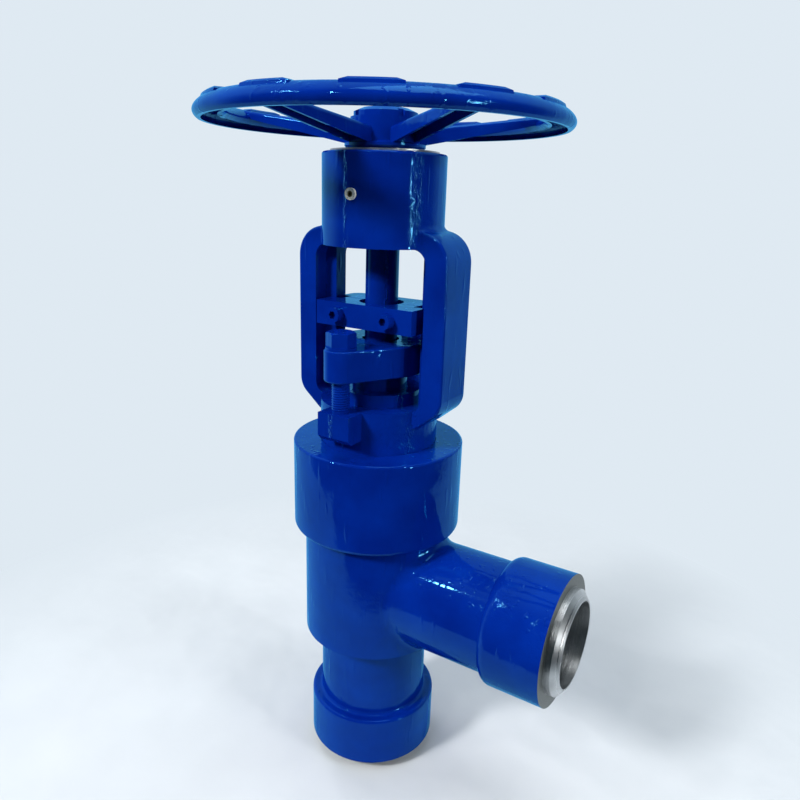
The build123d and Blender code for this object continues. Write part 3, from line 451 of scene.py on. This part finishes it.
# The floor runs back and curves up into the backdrop
FLOOR_FRONT = -0.32
FLOOR_BACK = 1.3
SWEEP_RADIUS = 0.35
SWEEP_STEPS = 12
SWEEP_TOP = 2.4
FRONT_HALF_WIDTH = 0.60
BACK_HALF_WIDTH = 1.45
sweep_points = [(FLOOR_FRONT, 0.0), (FLOOR_BACK, 0.0)]
for step in range(1, SWEEP_STEPS + 1):
    angle = math.radians(90 * step / SWEEP_STEPS)
    sweep_points.append((FLOOR_BACK + SWEEP_RADIUS * math.sin(angle), SWEEP_RADIUS * (1 - math.cos(angle))))
sweep_points.append((FLOOR_BACK + SWEEP_RADIUS, SWEEP_TOP))
floor_vertices = []
floor_faces = []
for index, (along, up) in enumerate(sweep_points):
    half_width = FRONT_HALF_WIDTH if index == 0 else BACK_HALF_WIDTH
    floor_vertices.append(turned(-half_width, along, up))
    floor_vertices.append(turned(half_width, along, up))
    if index:
        base = 2 * index
        floor_faces.append((base - 2, base - 1, base + 1, base))
floor = mesh_object("studio_floor", floor_vertices, floor_faces, paper_material())
for polygon in floor.data.polygons:
    polygon.use_smooth = True

# Light

world = bpy.data.worlds.new("studio_world")
scene.world = world
world.use_nodes = True
world_tree = world.node_tree
world_tree.nodes.clear()


def world_node(kind, **settings):
    node = world_tree.nodes.new(kind)
    for key, value in settings.items():
        setattr(node, key, value)
    return node


def world_math(operation, a, b):
    node = world_node("ShaderNodeMath", operation=operation)
    world_tree.links.new(a, node.inputs[0])
    world_tree.links.new(b, node.inputs[1])
    return node.outputs[0]


def world_mix(factor, low, high):
    node = world_node("ShaderNodeMix", data_type="RGBA")
    world_tree.links.new(factor, node.inputs["Factor"])
    node.inputs["A"].default_value = low
    node.inputs["B"].default_value = high
    return node.outputs["Result"]


# The room lights the valve dimly. Its background is pale, with a dim front side for the gloss to mirror
ROOM_LIGHT = (0.22, 0.38, 0.50, 1.0)
ROOM_DIM = (0.02, 0.04, 0.055, 1.0)
DIM_SIDE = (0.08, -0.93, -0.36)
DIM_START = -0.50
DIM_FULL = 0.12
way = world_node("ShaderNodeTexCoord")
towards = world_node("ShaderNodeVectorMath", operation="DOT_PRODUCT")
world_tree.links.new(way.outputs["Generated"], towards.inputs[0])
towards.inputs[1].default_value = turned(*DIM_SIDE)
dim = world_node("ShaderNodeMapRange", interpolation_type="SMOOTHSTEP")
world_tree.links.new(towards.outputs["Value"], dim.inputs["Value"])
dim.inputs["From Min"].default_value = DIM_START
dim.inputs["From Max"].default_value = DIM_FULL
ray = world_node("ShaderNodeLightPath")
mirrored = world_math("MAXIMUM", ray.outputs["Is Glossy Ray"], ray.outputs["Is Transmission Ray"])
shown = world_math("MAXIMUM", ray.outputs["Is Camera Ray"], mirrored)
lit = world_node("ShaderNodeBackground")
world_tree.links.new(world_mix(dim.outputs["Result"], ROOM_LIGHT, ROOM_DIM), lit.inputs["Color"])
seen = world_node("ShaderNodeBackground")
dim_mirrored = world_math("MULTIPLY", dim.outputs["Result"], mirrored)
world_tree.links.new(world_mix(dim_mirrored, BACKGROUND, ROOM_DIM), seen.inputs["Color"])
choice = world_node("ShaderNodeMixShader")
world_tree.links.new(shown, choice.inputs[0])
world_tree.links.new(lit.outputs[0], choice.inputs[1])
world_tree.links.new(seen.outputs[0], choice.inputs[2])
world_out = world_node("ShaderNodeOutputWorld")
world_tree.links.new(choice.outputs[0], world_out.inputs["Surface"])


AIM_HEIGHT = 0.3


def area_light(name, across, along, up, size, power, mirrored):
    """Lamp aimed at the valve; one that isn't mirrored lights it but doesn't show in the gloss."""
    data = bpy.data.lights.new(name, "AREA")
    data.shape = "RECTANGLE"
    data.size, data.size_y = size
    data.energy = power
    obj = bpy.data.objects.new(name, data)
    obj.location = turned(across, along, up)
    direction = Vector((0.0, 0.0, AIM_HEIGHT)) - obj.location
    obj.rotation_euler = direction.to_track_quat("-Z", "Y").to_euler()
    obj.visible_glossy = mirrored
    obj.visible_camera = False
    scene.collection.objects.link(obj)


area_light("key_left", -2.6, -1.8, 2.5, (0.60, 0.60), 138.0, False)
area_light("ceiling", 0.3, -0.2, 2.2, (1.2, 1.0), 13.0, True)
area_light("fill_right", 1.6, -0.8, 1.0, (0.8, 1.2), 6.0, False)
area_light("fill_back", -0.9, 1.2, 1.3, (0.8, 0.8), 10.0, False)
area_light("spark_left", -0.75, -1.25, 1.55, (0.08, 0.08), 4.0, True)
area_light("spark_side", -1.35, -0.60, 1.90, (0.12, 0.12), 7.0, True)
area_light("spark_right", 1.25, -0.85, 1.0, (0.08, 0.08), 4.0, True)
area_light("strip_right", 1.04, -0.94, 0.43, (0.025, 0.58), 5.0, True)

# Camera

CAMERA_PLACE = Vector((322.9, -487.8, 527.6)) * MM
CAMERA_PITCH = math.radians(16.709)
CAMERA_YAW = math.radians(1.790)
CAMERA_ROLL = math.radians(1.830)
CAMERA_LENS = 30.96

ahead = Vector((
    math.sin(CAMERA_YAW) * math.cos(CAMERA_PITCH),
    math.cos(CAMERA_YAW) * math.cos(CAMERA_PITCH),
    -math.sin(CAMERA_PITCH),
))
right = Vector((math.cos(CAMERA_YAW), -math.sin(CAMERA_YAW), 0.0))
above = right.cross(ahead)
rolled_right = right * math.cos(CAMERA_ROLL) + above * math.sin(CAMERA_ROLL)
rolled_above = above * math.cos(CAMERA_ROLL) - right * math.sin(CAMERA_ROLL)
azimuth_x = Vector((math.cos(VIEW_AZIMUTH), math.sin(VIEW_AZIMUTH), 0.0))
azimuth_y = Vector((-math.sin(VIEW_AZIMUTH), math.cos(VIEW_AZIMUTH), 0.0))


def in_row(vector):
    return azimuth_x * vector.x + azimuth_y * vector.y + Vector((0.0, 0.0, vector.z))


camera_data = bpy.data.cameras.new("camera")
camera_data.sensor_width = 36.0
camera_data.lens = CAMERA_LENS
camera = bpy.data.objects.new("camera", camera_data)
scene.collection.objects.link(camera)
turn = Matrix((in_row(rolled_right), in_row(rolled_above), -in_row(ahead))).transposed()
camera.matrix_world = Matrix.Translation(CAMERA_PLACE) @ turn.to_4x4()
scene.camera = camera

scene.view_settings.view_transform = "Standard"
